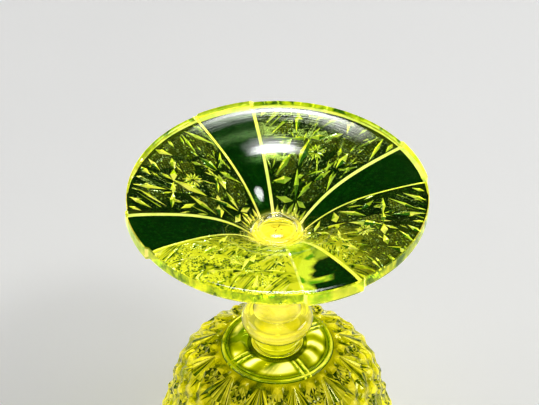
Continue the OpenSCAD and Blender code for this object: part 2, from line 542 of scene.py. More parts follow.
def sector_drawing():
    """All cuts and fields of one sector, laid flat."""
    drawing = Drawing(sector_outline())
    for start, end, width, widest in CUTS:
        drawing.cut(held_in(start), held_in(end), width, widest)
    for corners, turn, crossed in FIELDS:
        drawing.field([held_in(c) for c in corners], PITCH, RIB_DEEP, math.radians(turn), crossed)
    scatter = random.Random(11)
    for _ in range(SLIVERS):
        place = np.array(held_in((scatter.uniform(*SLIVER_RADII), scatter.uniform(*SLIVER_ANGLES))))
        lean = math.atan2(place[1], place[0]) + math.radians(scatter.uniform(*SLIVER_LEANS))
        x, y = place + scatter.uniform(*SLIVER_LONG) * np.array(at_angle(1, lean))
        far = held_in((float(np.hypot(x, y)), math.degrees(math.atan2(y, x))))
        drawing.cut(place, far, scatter.uniform(*SLIVER_WIDE), widest=0.45)
    centre = np.array(polar(*ROSETTE))
    for i in range(ROSETTE_RAYS):
        way = np.array(polar(1, 360 / ROSETTE_RAYS * i))
        drawing.cut(centre + ROSETTE_HOLE * way, centre + ROSETTE_R * way, 1.1, widest=0.6)
    return drawing


def sector_patch():
    """Triangles of one patterned sector, centred on +X."""
    spare = []
    for r in np.arange(INNER_R + 1.2, OUTER_R - 1, MESH_STEP):
        half = side_angle(r) - 1.0 / r
        steps = max(2, int(2 * half * r / MESH_STEP))
        spare += [at_angle(r, a) for a in np.linspace(-half, half, steps)]
    drawing = sector_drawing()
    xy, faces, kinds, values = drawing.triangulate(spare)
    return under_point(xy[:, 0], xy[:, 1], drawing.depth(xy)), faces, kinds, values


def turned(points, angle):
    """Points turned round the axis."""
    c, s = math.cos(angle), math.sin(angle)
    x, y = points[:, 0], points[:, 1]
    return np.stack([c * x - s * y, s * x + c * y, points[:, 2]], axis=1)


WELL_FLOOR = RIM_Z - DISH_FALL - 1
# Rings pressed in the well: radius, and height over its floor
WELL_RINGS = [(2, 0.5), (4, 0.42), (6, 0.25), (7.2, 0.08), (7.7, 0), (8.2, 0.1), (8.6, 0.4), (9, 0.52),
              (9.5, 0.55), (10, 0.45), (10.4, 0.4), (10.8, 0.5), (11.2, 0.7)]


def add_upper_face(shell):
    """The ringed well and the smooth flared face up to the rim."""
    upper = [dish_ring(r, WELL_FLOOR + lift) for r, lift in WELL_RINGS]
    upper += [dish_ring(r, upper_z(r) - lip_drop(r)) for r in np.linspace(WELL_R, FACE_END, 56)]
    shell.cap(upper[0], (0, 0, WELL_FLOOR + WELL_RINGS[0][1]), "upper")
    shell.grid(upper, "upper")
    return upper[-1]


def add_rim(shell, last):
    """A narrow band that leans outwards, a bevel, the wall and its rounded foot; the panels stand proud."""
    wide = DISH_R - EDGE_BEVEL - CREST_R
    strips = len(BAND_LEANS)
    z = upper_z(CREST_R) - lip_drop(CREST_R)
    band = [last, dish_ring(CREST_R, z, BAND_PROUD)]
    for i, lean in enumerate(BAND_LEANS):
        z -= wide / strips * math.tan(math.radians(lean))
        share = (i + 1) / strips
        band.append(dish_ring(CREST_R + wide * share, z, BAND_PROUD + (PROUD - BAND_PROUD) * share))
    bevel = [band[-1]] + [dish_ring(DISH_R - inset, z - fall, PROUD) for inset, fall in BEVEL_STEPS]
    wall_foot = RIM_Z - RIM_T
    corner = [dish_ring(DISH_R - inset, wall_foot + lift, PROUD, PROUD) for inset, lift in CORNER_STEPS]
    wall = [bevel[-1], dish_ring(DISH_R, RIM_Z - RIM_T / 2, PROUD, PROUD / 2), corner[0]]
    shell.grid(band, "upper")
    shell.grid(bevel, "bevel")
    shell.grid(wall, column_kinds("panel_rim", "edge", "rim"))
    shell.grid(corner + [dish_ring(OUTER_R, under_z(OUTER_R), 0.0, PROUD)], "bevel")


def add_panels_and_sectors(shell):
    """The under face: plain panels, sloping steps at their sides and patterned sectors."""
    for i in range(PANELS):
        middle = PANEL_TURN + 2 * math.pi / PANELS * i
        angles = middle + np.linspace(-PANEL_HALF, PANEL_HALF, PANEL_COLUMNS + 1)
        rows, left_step, right_step = [], [], []
        for r in ROW_RADII:
            row = circle(r, angles, under_z(r) - PROUD)
            rows.append(row)
            for steps, sign, edge in ((left_step, 1, row[-1]), (right_step, -1, row[0])):
                beside = middle + sign * (math.pi / PANELS - side_angle(r))
                steps.append([edge, (*at_angle(r, beside), under_z(r))])
        shell.grid(rows, "panel", closed=False)
        shell.grid(left_step, "edge", closed=False)
        shell.grid(right_step, "edge", closed=False)
    points, faces, kinds, values = sector_patch()
    for i in range(PANELS):
        angle = PANEL_TURN + 2 * math.pi / PANELS * (i + 0.5)
        shell.patch(turned(points, angle), faces, kinds, values, SECTOR_SHIFT * i)


BOSS_END = DISH_LOW[2] - 0.01    # a little way into the stem
# Rings between the pattern and the boss: radius, fall below the under face, and the panels' further fall
NECK_RINGS = [(INNER_R, 0, PROUD), (12.5, 0.5, 0.6), (12.0, 1.6, 0.0)]
# Rings of the boss: inset from its radius, and height over its end
BOSS_RINGS = [(0, 1.61), (0.15, 0.51), (0.5, 0)]


def add_boss(shell):
    """The boss under the well, from the pattern's inner edge to its flat end."""
    rows = [dish_ring(r, under_z(r) - fall, 0.0, lower) for r, fall, lower in NECK_RINGS]
    rows += [dish_ring(BOSS_R - inset, BOSS_END + lift) for inset, lift in BOSS_RINGS]
    shell.grid(rows, "upper")
    shell.cap(rows[-1], (0, 0, BOSS_END), "upper")


def make_dish(materials):
    """The flared dish with its rim, panels, cut sectors and boss, closed all round."""
    shell = Shell()
    last = add_upper_face(shell)
    add_rim(shell, last)
    add_panels_and_sectors(shell)
    add_boss(shell)
    return shell.build("flared_dish", materials)


# ---------------- the stem, the knop and the merese
OVERLAP = 0.02                   # pieces that are one mass of glass run this far into each other
LATHE_COLUMNS = 160


def lathe(name, profile, materials):
    """A closed turned piece from (radius, height) points, bottom to top."""
    shell = Shell()
    angles = np.linspace(0, 2 * math.pi, LATHE_COLUMNS, endpoint=False)
    rows = [circle(r, angles, z) for r, z in profile]
    shell.grid(rows, "upper")
    shell.cap(rows[0], (0, 0, profile[0][1]), "upper", flip=True)
    shell.cap(rows[-1], (0, 0, profile[-1][1]), "upper")
    return shell.build(name, materials, sharp=35)


def make_stem(materials):
    """A waisted column."""
    low, high = STEM_LOW[2], STEM_HIGH[2]
    end_r, waist_r = STEM_HIGH[0], 9.0
    profile = []
    for t in np.linspace(0, 1, 41):
        z = low - OVERLAP + (high - low + 2 * OVERLAP) * t
        profile.append((end_r - (end_r - waist_r) * math.sin(math.pi * t) ** 0.8, z))
    return lathe("stem_column", profile, materials)


def make_knop(materials):
    """The round, flattened knop."""
    low, high = KNOP_LOW[2], KNOP_HIGH[2]
    belly, neck = KNOP_HIGH[0], 9.5
    middle, half = (low + high) / 2, (high - low) / 2 + OVERLAP
    profile = []
    for t in np.linspace(-math.pi / 2, math.pi / 2, 49):
        profile.append((neck + (belly - neck) * math.cos(t), middle + half * math.sin(t)))
    return lathe("knop_bulb", profile, materials)


def make_merese(materials):
    """Three rounded rings, the widest at the bottom."""
    low, high = MERESE_LOW[2] - OVERLAP, MERESE_HIGH[2] + OVERLAP
    rings, widest, narrowest, core = 3, MERESE_HIGH[0], MERESE_HIGH[0] - 1.5, 9.2
    tall = (high - low) / rings
    profile = []
    for i in range(rings):
        out = widest - (widest - narrowest) * i / (rings - 1)
        for t in np.linspace(0 if i == 0 else 0.06, 1, 15):
            bulge = math.sin(math.pi * t) ** 0.6 if 0 < t < 1 else 0
            profile.append((core + (out - core) * bulge, low + (i + t) * tall))
    return lathe("merese_rings", profile, materials)


# ---------------- the foot
FOOT_R = 60.0                    # at the table
FOOT_TOP = MERESE_LOW[2]
FOOT_WALL = 6.0
CROWN_IN = 9.0                   # the flat crown's innermost ring
DOME_IN = 13.5                   # the crown ends and the dome's quarter ellipse begins at this radius
DOME_W, DOME_H = 34.0, 28.0      # half axes of the ellipse
DOME_END = math.radians(77.6)    # the straight skirt leaves the ellipse here
ROSETTE_EDGE = 25.5
PLAIN_BAND = 4.0                 # from the end of the pattern to the table, along the profile
CELLS = 12                       # repeats of the pattern
CELL_R = 45.0                    # the cell is drawn flat, as if it lay at this radius
CELL_HALF = math.pi / CELLS * CELL_R
CELL_TOP_COLUMNS = 40
CELL_LOW_COLUMNS = 20
CELL_PITCH = 2.3                 # hatch of the foot
RELIEF = 1.1                     # height of the foot's round knobs


def foot_outline(inset=0.0):
    """Closely spaced (r, z) points of the foot's face, from the crown to the table."""
    points = []
    for t in np.linspace(0, DOME_END, 60):
        r, z = DOME_IN + (DOME_W - inset) * math.sin(t), FOOT_TOP - DOME_H + (DOME_H - inset) * math.cos(t)
        points.append((r, z))
    points += zip(np.linspace(r, FOOT_R - inset, 40)[1:], np.linspace(z, 0, 40)[1:])
    return np.array(points)


FOOT_LINE = foot_outline()
FOOT_S = np.concatenate([[0], np.cumsum(np.hypot(*np.diff(FOOT_LINE, axis=0).T))])    # length along it
CELL_START = float(np.interp(ROSETTE_EDGE, FOOT_LINE[:, 0], FOOT_S))
CELL_LONG = FOOT_S[-1] - CELL_START - PLAIN_BAND
CELL_ROWS = np.linspace(0, CELL_LONG, 46)


def foot_point(angle, s, into):
    """Point of the foot's outer face at an angle and a length along its profile."""
    r = np.interp(s, FOOT_S, FOOT_LINE[:, 0])
    z = np.interp(s, FOOT_S, FOOT_LINE[:, 1])
    dr, dz = (np.interp(s + 0.6, FOOT_S, line) - np.interp(s - 0.6, FOOT_S, line) for line in FOOT_LINE.T)
    long = np.maximum(np.hypot(dr, dz), 1e-9)
    return circle(r + into * dz / long, angle, z - into * dr / long)


KNOB_ROW, KNOB_PITCH = 26, 11    # place of one row of knobs, and distance between rows


def knobs(angle, v):
    """Height of the round knobs in rows, fading out towards the rosette and towards the table."""
    share = unit((v - 0.3) / 2.5) * unit((CELL_LONG - 16 - v) / 8)
    return RELIEF * share * np.cos(2 * CELLS * angle) * np.cos(2 * math.pi * (v - KNOB_ROW) / KNOB_PITCH)


def cell_outline():
    """Outline of one repeat, with the same points as the rosette, the band and the next repeat."""
    top = [(u, 0.0) for u in np.linspace(CELL_HALF, -CELL_HALF, CELL_TOP_COLUMNS + 1)]
    left = [(-CELL_HALF, v) for v in CELL_ROWS[1:-1]]
    low = [(u, CELL_LONG) for u in np.linspace(-CELL_HALF, CELL_HALF, CELL_LOW_COLUMNS + 1)]
    right = [(CELL_HALF, v) for v in CELL_ROWS[1:-1][::-1]]
    return (top + left + low + right)[::-1]


CELL_EDGE = CELL_HALF - 0.45     # cuts and fields end here
FAN_TOP, FAN_END, FAN_STEP = 0.8, 21.0, 3.45
STAR, STAR_LONG, STAR_SHORT = (0, 44), 13.0, 11.0
FLUTE_TOP, FLUTE_STEP = 59.5, 3.3
CELL_SHIFT = 0.23                # of the facets' values, from one repeat to the next
# Hatched fields of one cell: corners on the right of its middle, which are mirrored on the left, and depth
SHOULDER_FIELDS = [
    (((CELL_EDGE, 5), (CELL_EDGE, 13), (6.5, 11.5), (4.5, 5)), 0.4),
]
BELT_FIELDS = [
    (((CELL_EDGE, 45.8), (CELL_EDGE, 56), (8.3, 53.5), (4, 48.8), (6, 46.3)), 0.65),
    (((CELL_EDGE, 42.2), (CELL_EDGE, 32), (8.3, 34.5), (4, 39.2), (6, 41.7)), 0.65),
    (((1.8, 27), (2.2, 32.5), (8, 32), (CELL_EDGE - 1, 28), (8, 24)), 0.6),
]


def cell_drawing():
    """A fan under the rosette, then a star among hatched fields, then flutes."""
    drawing = Drawing(cell_outline())
    for i in range(-3, 4):
        start = np.array([0.0, FAN_TOP]) + 0.12 * np.array([FAN_STEP * i, FAN_END - FAN_TOP])
        drawing.cut(start, (FAN_STEP * i, FAN_END - 0.5 * abs(i)), 2.0, widest=0.72)
    for i in range(8):
        way = np.array(polar(1, 45 * i))
        reach = min(STAR_SHORT if i % 2 else STAR_LONG, (CELL_EDGE - 0.2) / max(abs(way[0]), 1e-6))
        drawing.cut(STAR + 0.7 * way, STAR + reach * way, 3.0, widest=0.45)
    for fields in (SHOULDER_FIELDS, BELT_FIELDS):
        for side in (-1, 1):
            for corners, deep in fields:
                drawing.field([(side * u, v) for u, v in corners], CELL_PITCH, deep, math.radians(45))
    for u in FLUTE_STEP * np.arange(-3, 4):
        drawing.cut((u, FLUTE_TOP), (u, CELL_LONG - 1.2), 3.0, widest=0.35, steep=0.5)
    return drawing


def cell_patch():
    """Triangles of one repeat on the foot; the values of its ground follow the height of the knobs, so that
    painted light is brightest on their tops.
    """
    spare = []
    for v in np.arange(1.2, CELL_LONG - 1, 1.8):
        spare += [(u, v) for u in np.linspace(-CELL_HALF + 0.9, CELL_HALF - 0.9, 13)]
    drawing = cell_drawing()
    uv, faces, kinds, values = drawing.triangulate(spare)
    angle, v = uv[:, 0] / CELL_R, uv[:, 1]
    points = foot_point(angle, CELL_START + v, drawing.depth(uv) - knobs(angle, v))
    for i, face in enumerate(faces):
        if kinds[i] == "ground":
            u_mid, v_mid = uv[list(face)].mean(axis=0)
            values[i] = 0.5 + 0.45 * float(knobs(u_mid / CELL_R, v_mid)) / RELIEF
    return points, faces, kinds, values


PETALS = 4
PETAL_TURN = math.radians(33)    # a line between two petals
PETAL_IN, PETAL_OUT = 13.6, 22.0
RIDGES = (1.25, 0.85)            # distance of a ridge from the line between two petals, and half its width
OUTER_RING = (24.2, 0.95)        # radius of a ring round the petals, and half its width
INNER_RING = (22.4, 0.6)


def rosette_ridges(r, angle):
    """Height share of the ridges between and round the petals, and distance from the line between two."""
    quarter = 2 * math.pi / PETALS
    off = (angle - PETAL_TURN + quarter / 2) % quarter - quarter / 2
    away = np.abs(off) * r
    between = hump(away, *RIDGES) * unit((r - PETAL_IN) / 1.5)
    return np.maximum(between, np.maximum(hump(r, *OUTER_RING), 0.7 * hump(r, *INNER_RING))), away


def rosette_height(r, angle):
    """Four crowned petals with a double ridge between them and rings round them."""
    ridge, away = rosette_ridges(r, angle)
    petal = 1.35 * unit((r - PETAL_IN) / 2.4) ** 0.7 * unit((PETAL_OUT - r) / 5) ** 0.5
    return np.maximum(1.1 * ridge, petal * unit((away - 2.2) / 4) ** 0.5)


def rosette_shade(r, angle):
    """Painted light and shade of each face: bright ridges, dark grooves beside them, and petals in between
    with painted radial streaks.
    """
    ridge, away = rosette_ridges(r, angle)
    groove = np.minimum(unit((away - 2.0) / 1.6), unit((PETAL_OUT - r) / 1.8))
    streak = 0.5 + 0.5 * np.cos(9 * angle + 2.5 * np.sin(3 * angle + 1) + 0.3 * (r - PETAL_IN) - 1.1)
    petal = 0.08 + 0.92 * groove * unit((r - PETAL_IN + 1.4) / 2) * (0.2 + 0.8 * streak ** 1.5)
    crest = np.where(r > PETAL_OUT, 0.42 + 0.2 * np.cos(2 * angle + 1.2), 0.62)
    return np.where(ridge > 0.8, crest, np.where(ridge > 0.1, 0.16, petal))


def add_rosette(shell):
    """The crown under the merese, the petals and the rings round them."""
    columns = CELLS * CELL_TOP_COLUMNS
    angles = np.arange(columns) * 2 * math.pi / columns
    radii = [*np.linspace(CROWN_IN, DOME_IN, 4), *np.linspace(DOME_IN + 0.5, PETAL_OUT, 21),
             *np.linspace(PETAL_OUT + 0.3, ROSETTE_EDGE, 16)]
    rows = []
    for r in radii:
        if r <= DOME_IN:
            rows.append(circle(r, angles, FOOT_TOP))
        else:
            height = rosette_height(r, angles) if r < ROSETTE_EDGE else 0.0
            rows.append(foot_point(angles, np.interp(r, FOOT_LINE[:, 0], FOOT_S), -height))
    middles = angles + math.pi / columns
    # each face's painted light and shade, which its material reads as the facet value
    shades = [rosette_shade((low + high) / 2, middles) for low, high in zip(radii[:-1], radii[1:])]
    shell.grid(rows, "petal", flip=True, values=shades)
    shell.cap(rows[0], (0, 0, FOOT_TOP), "petal", flip=True)


# Rings of the plain band and of the ring that the foot stands on: inset from its radius, and height
TABLE_RINGS = [(0.62, 3.2), (0.2, 2.2), (0.2, 0.9), (0.5, 0.25), (1.2, 0), (FOOT_WALL - 1.2, 0),
               (FOOT_WALL - 0.3, 0.3)]
CEILING = FOOT_TOP - FOOT_WALL


def add_foot_inside(shell):
    """The plain band at the bottom, the ring that it stands on and the smooth hollow."""
    columns = CELLS * CELL_LOW_COLUMNS
    angles = np.arange(columns) * 2 * math.pi / columns
    band = [foot_point(angles, CELL_START + CELL_LONG, 0.0)]
    band += [circle(FOOT_R - inset, angles, z) for inset, z in TABLE_RINGS]
    shell.grid(band, "rim")
    inner = foot_outline(FOOT_WALL)[::-1]
    rows = [band[-1]] + [circle(r, angles, z) for r, z in inner[::3] if z > 1.0]
    rows.append(circle(CROWN_IN, angles, CEILING))
    shell.grid(rows, "inside")
    shell.cap(rows[-1], (0, 0, CEILING), "inside")


def make_foot(materials):
    """The hollow foot with its rosette, its repeats and its plain band, closed all round."""
    shell = Shell()
    add_rosette(shell)
    points, faces, kinds, values = cell_patch()
    for i in range(CELLS):
        shell.patch(turned(points, 2 * math.pi / CELLS * (i + 0.5)), faces, kinds, values, CELL_SHIFT * i)
    add_foot_inside(shell)
    return shell.build("domed_foot", materials)


# ---------------- shader nodes
WHITE, BLACK = (1, 1, 1), (0, 0, 0)
FRONT, LEFT, RIGHT = (0, -1, 0), (-1, 0, 0), (1, 0, 0)
GLASS_INDEX = 1.52


def grey(level):
    return (level, level, level)


def new_material(name):
    material = bpy.data.materials.new(name)
    material.use_nodes = True
    tree = material.node_tree
    return material, tree, tree.nodes["Principled BSDF"]


def feed(tree, made, inputs):
    """Sets a node's sockets to values, or links them to the outputs of other nodes."""
    for socket, value in inputs.items():
        if isinstance(value, bpy.types.NodeSocket):
            tree.links.new(value, made.inputs[socket])
        else:
            made.inputs[socket].default_value = value


def node(tree, kind, inputs, **settings):
    """A new shader node with its settings and inputs."""
    made = tree.nodes.new("ShaderNode" + kind)
    for name, value in settings.items():
        setattr(made, name, value)
    feed(tree, made, inputs)
    return made


def object_place(tree):
    return node(tree, "TexCoord", {}).outputs["Object"]


def noise(tree, scale, detail=3, stretch=(1, 1, 1), warp=0.0):
    """Procedural noise; scale is in features per metre."""
    place = node(tree, "Mapping", {"Vector": object_place(tree), "Scale": stretch}).outputs["Vector"]
    inputs = {"Vector": place, "Scale": scale, "Detail": detail, "Distortion": warp}
    return node(tree, "TexNoise", inputs).outputs["Fac"]


def facet_value(tree):
    return node(tree, "Attribute", {}, attribute_name="facet").outputs["Fac"]


def radius(tree):
    """Distance from the axis of the glass, in metres."""
    flat = node(tree, "VectorMath", {0: object_place(tree), 1: (1, 1, 0)}, operation="MULTIPLY")
    return node(tree, "VectorMath", {0: flat.outputs[0]}, operation="LENGTH").outputs["Value"]


def spread(tree, value, start, end, kind="SMOOTHSTEP"):
    """Zero up to a start and one from an end on."""
    inputs = {"Value": value, "From Min": start, "From Max": end}
    return node(tree, "MapRange", inputs, interpolation_type=kind).outputs["Result"]


def grazing(tree, blend=0.35):
    """Zero where glass is seen square on, one where it is seen edge on."""
    return node(tree, "LayerWeight", {"Blend": blend}).outputs["Facing"]


def ramp(tree, value, stops):
    """Colours along a value: stops are (place, (r, g, b))."""
    made = node(tree, "ValToRGB", {"Fac": value})
    elements = made.color_ramp.elements
    while len(elements) < len(stops):
        elements.new(0.5)
    for element, (place, colour) in zip(elements, stops):
        element.position = place
        element.color = (*colour, 1)
    return made.outputs["Color"]


def combine(tree, kind, a, b, share=1.0):
    """Mixes two colours by a blend kind."""
    colours = {"Factor": share, 6: a, 7: b}
    return node(tree, "Mix", colours, data_type="RGBA", blend_type=kind).outputs[2]


def times(tree, first, *others):
    """Product of colours."""
    for other in others:
        first = combine(tree, "MULTIPLY", first, other)
    return first


def plus(tree, a, b):
    return combine(tree, "ADD", a, b)


def mottle(tree, scale, stops, detail=3, stretch=(1, 1, 1), warp=0.0):
    """Colours in patches, along the values of a noise."""
    return ramp(tree, noise(tree, scale, detail, stretch, warp), stops)


def mottled(*settings, **more):
    """A tint or glow in patches, ready for glass."""
    return lambda tree: mottle(tree, *settings, **more)


def faceted(stops):
    """A tint or glow that differs from facet to facet, ready for glass; it paints light and shade facet by
    facet.
    """
    return lambda tree: ramp(tree, facet_value(tree), stops)


def rings(tree, start, end, stops):
    """Colours round the axis; the stops go from 0 at a start to 1 at an end, in millimetres."""
    return ramp(tree, spread(tree, radius(tree), start * MM, end * MM, "LINEAR"), stops)


def fade(tree, direction, start, end, low=BLACK, high=WHITE, ragged=0.0):
    """One colour before a place along a direction and another after a second place, in millimetres."""
    dot = node(tree, "VectorMath", {0: object_place(tree), 1: direction}, operation="DOT_PRODUCT")
    value = dot.outputs["Value"]
    if ragged:
        inputs = {0: noise(tree, 150), 1: ragged * MM, 2: value}
        value = node(tree, "Math", inputs, operation="MULTIPLY_ADD").outputs[0]
    return ramp(tree, spread(tree, value, start * MM, end * MM), [(0, low), (1, high)])


def bump(tree, shader, height, distance):
    made = node(tree, "Bump", {"Height": height, "Distance": distance, "Strength": 1.0})
    feed(tree, shader, {"Normal": made.outputs["Normal"]})


# ---------------- glass
def polish_rings(tree):
    """Faint rings left by polishing the glass as it turned, broken up along their length."""
    marks = node(tree, "TexNoise", {"W": radius(tree), "Scale": 900, "Detail": 3}, noise_dimensions="1D")
    return times(tree, marks.outputs["Fac"], mottle(tree, 60, [(0.35, grey(0.2)), (0.7, WHITE)]))


def glass(name, tint, glow, strength, roughness=(0.015, 0.06), wave=(110, 0.00012), polish=0.0,
          gloss=(1, 1, 0.35), clear=1.0):
    """Uranium glass. Tint and glow are functions that make a colour in the node tree; the glow is painted
    light, an emission that stands in for light gathered in the glass and seen through it.

    Roughness varies between two values. Wave is the scale and depth of the waves in the surface, polish the
    share of polishing rings in them, gloss the colour of reflections, and clear the share of transmission.
    """
    material, tree, shader = new_material(name)
    low, high = roughness
    scale, deep = wave
    height = noise(tree, scale, 2, (1, 1, 1.5), 0.4)
    if polish:
        height = combine(tree, "ADD", height, polish_rings(tree), polish)
    feed(tree, shader, {
        "Base Color": tint(tree),
        "Emission Color": glow(tree),
        "Emission Strength": strength,
        "Roughness": mottle(tree, 260, [(0.35, grey(low)), (0.75, grey(high))], detail=4),
        "Transmission Weight": clear,
        "Specular Tint": (*gloss, 1),
        "IOR": GLASS_INDEX,
    })
    bump(tree, shader, height, deep)
    return material


CALM = {"wave": (60, 0.00003)}   # smooth glass with long, shallow waves


def upper_tint(t):
    """Yellow over the well, where the glass is deep, and green over the flared part."""
    zones = rings(t, 0, 24, [(0.5, (0.97, 0.88, 0.6)), (0.72, (0.68, 0.93, 0.42))])
    return times(t, zones, mottle(t, 45, [(0.3, (0.88, 0.96, 0.8)), (0.7, WHITE)], detail=2))


def upper_painted_light(t):
    """Painted light: a faint trace of it in the glass, and pale rings of painted highlight round the well.
    """
    pale = rings(t, 0, 20, [
        (0.33, BLACK), (0.375, (0.3, 0.26, 0.06)), (0.41, (0.02, 0.02, 0)), (0.455, (0.22, 0.19, 0.05)),
        (0.49, BLACK), (0.545, (0.3, 0.3, 0.05)), (0.58, (0.04, 0.05, 0)), (0.64, BLACK)])
    return plus(t, pale, mottle(t, 500, [(0.5, BLACK), (0.8, (0.004, 0.01, 0))]))


def painted_stem_light_mask(t):
    """Where painted light stands in for the stem and the foot seen through the front panel.

    It is a strip along the panel's left side, with an arm to the right near the rim and a dimmer inner end.
    """
    strip = fade(t, LEFT, -11.5, -9, ragged=9)
    bands = rings(t, 20, 70, [
        (0.38, (0.5, 0.56, 0.5)), (0.43, BLACK),
        (0.655, BLACK), (0.67, WHITE), (0.72, WHITE), (0.735, BLACK)])
    arm = times(t, bands, fade(t, LEFT, -21, -18, ragged=6))
    lit = combine(t, "LIGHTEN", strip, arm)
    return times(t, fade(t, RIGHT, -6, -3), lit, fade(t, FRONT, 12, 18, ragged=4))


def panel_painted_shade_and_light(t):
    # near-black green is painted shade; where the stem and the foot would show through, painted light turns
    # the tint yellow
    dark = mottle(t, 180, [(0.3, (1e-6, 0.0006, 1e-6)), (0.75, (2e-6, 0.0022, 1e-6))], detail=4)
    lit = mottle(t, 90, [(0.4, (0.02, 0.15, 0)), (0.55, (0.5, 0.5, 0.01))], warp=0.6)
    return plus(t, dark, times(t, lit, painted_stem_light_mask(t)))


def panel_painted_light(t):
    # painted light: faint green specks, and a bright patch where the stem and the foot would show through
    dark = mottle(t, 700, [(0.52, (0, 0.004, 0)), (0.75, (0.003, 0.03, 0))])
    lit = mottle(t, 90, [(0.42, (0.06, 0.2, 0)), (0.52, (0.62, 0.6, 0.005))], warp=0.6)
    return plus(t, dark, times(t, lit, painted_stem_light_mask(t)))


def painted_front_light(t):
    """Painted light: broken yellow in the near half, standing in for the stem and the foot seen through the
    glass, and dim far to the right.
    """
    stops = [(0.31, (0, 0.02, 0)), (0.38, (0.4, 0.42, 0)), (0.48, (1.0, 0.86, 0.03))]
    place = times(t, fade(t, FRONT, 6, 34), fade(t, LEFT, -44, -20, low=grey(0.05)))
    return times(t, mottle(t, 150, stops, warp=0.9), place)


def dish_ground_painted_light(t):
    # painted light: sparse bright specks, and the painted light of the near half
    stops = [(0.56, (0, 0.001, 0)), (0.68, (0.01, 0.04, 0)), (0.8, (0.3, 0.4, 0.01))]
    return plus(t, mottle(t, 650, stops, warp=0.6), painted_front_light(t))


def dish_cut_painted_light(t):
    """Painted light and shade: bright and dark facets, which painted shade makes dimmer behind the well,
    further out.
    """
    facets = faceted([(0.22, (0.002, 0.03, 0)), (0.36, (0.36, 0.42, 0)), (0.48, (0.78, 0.68, 0.01)),
                      (0.9, (1.0, 0.76, 0.16))])
    lit = times(t, facets(t), mottle(t, 200, [(0.3, (0.3, 0.45, 0.2)), (0.5, WHITE)]))
    back = fade(t, (0.35, 0.94, 0), 9, 18, high=(0.72, 0.54, 0.75))
    outer = rings(t, 33, 42, [(0, WHITE), (1, (0.6, 0.5, 0.7))])
    return combine(t, "SUBTRACT", lit, times(t, lit, times(t, back, outer)))


def dish_hatch_painted_light(t):
    """Painted light and shade: dark grooves with a few bright facets and painted glints, and the broken
    painted light of the near half.
    """
    facets = faceted([(0.95, (0.0005, 0.006, 0)), (0.975, (0.02, 0.07, 0)), (0.995, (0.5, 0.6, 0.02))])
    glints = mottle(t, 1100, [(0.6, BLACK), (0.74, (0.3, 0.38, 0.16))], warp=0.5)
    broken = faceted([(0.2, (0.03, 0.12, 0)), (0.42, WHITE)])
    return plus(t, plus(t, facets(t), glints), times(t, broken(t), painted_front_light(t)))


def bevel_painted_light(t):
    """Painted light, bright at the back and sides, and painted shade, dark green in front."""
    body = mottle(t, 170, [(0.35, (0.35, 0.4, 0)), (0.5, (0.66, 0.62, 0.01)), (0.65, (0.95, 0.82, 0.1))])
    return times(t, body, fade(t, FRONT, 10, 45, low=(1.35, 1.25, 1.5), high=(0.12, 0.26, 0.02)))


def dish_rim_painted_light(t):
    # painted light on the edge band, in patches, and brighter towards the back
    body = mottle(t, 190, [(0.38, (0.02, 0.09, 0)), (0.49, (0.35, 0.45, 0)), (0.62, (0.8, 0.78, 0.01))],
                  stretch=(1, 1, 0.5), warp=0.5)
    return times(t, body, fade(t, FRONT, -25, 40, low=(1.35, 1.4, 0.8)))


def dish_materials():
    # the near-black tint of the dish's ground and hatch is painted shade
    ground_tint = mottled(320, [(0.4, (1e-6, 0.0006, 1e-6)), (0.75, (0.001, 0.008, 1e-5))], detail=4)
    # dark tint of the cut facets, lighter on some: painted shade, facet by facet
    cut_facet_painted_shade = faceted([(0.2, (0.001, 0.02, 0.0001)), (0.8, (0.1, 0.15, 0.003))])
    edge_tint = mottled(200, [(0.3, (0.4, 0.5, 0.03)), (0.7, (0.75, 0.8, 0.15))], detail=2)
    # painted light along the sloping steps beside the panels
    edge_painted_light = mottled(150, [(0.25, (0.55, 0.54, 0.02)), (0.6, (0.95, 0.78, 0.2))])
    # the near-black patches in the edge band's tint are painted shade
    rim_painted_shade_tint = mottled(220, [(0.35, (0.001, 0.02, 0)), (0.6, (0.08, 0.15, 0)), (0.75, (0.3, 0.38, 0.001))])
    # painted light in the edge band of the panels
    panel_rim_painted_light = mottled(160, [(0.35, (0.3, 0.5, 0)), (0.6, (0.85, 0.84, 0.04))], stretch=(1, 1, 0.5))
    rim_wave = (60, 0.00005)
    return {
        "upper": glass("dish_upper_glass", upper_tint, upper_painted_light, 1.0, wave=(70, 0.00003), polish=0.5,
                       gloss=WHITE),
        "panel": glass("dish_panel_glass", panel_painted_shade_and_light, panel_painted_light, 1.0, (0.07, 0.12), **CALM,
                       gloss=(0.06, 0.14, 0.05), clear=0.75),
        "ground": glass("dish_ground_glass", ground_tint, dish_ground_painted_light, 1.0, (0.08, 0.14), clear=0.5),
        "cut": glass("dish_cut_glass", cut_facet_painted_shade, dish_cut_painted_light, 0.9),
        "hatch": glass("dish_hatch_glass", ground_tint, dish_hatch_painted_light, 1.0, (0.05, 0.1), clear=0.25),
        "edge": glass("dish_edge_glass", edge_tint, edge_painted_light, 0.9),
        "bevel": glass("dish_bevel_glass", edge_tint, bevel_painted_light, 0.7),
        "rim": glass("dish_rim_glass", rim_painted_shade_tint, dish_rim_painted_light, 0.8, wave=rim_wave),
        "panel_rim": glass("dish_panel_rim_glass", rim_painted_shade_tint, panel_rim_painted_light, 0.8, wave=rim_wave),
    }


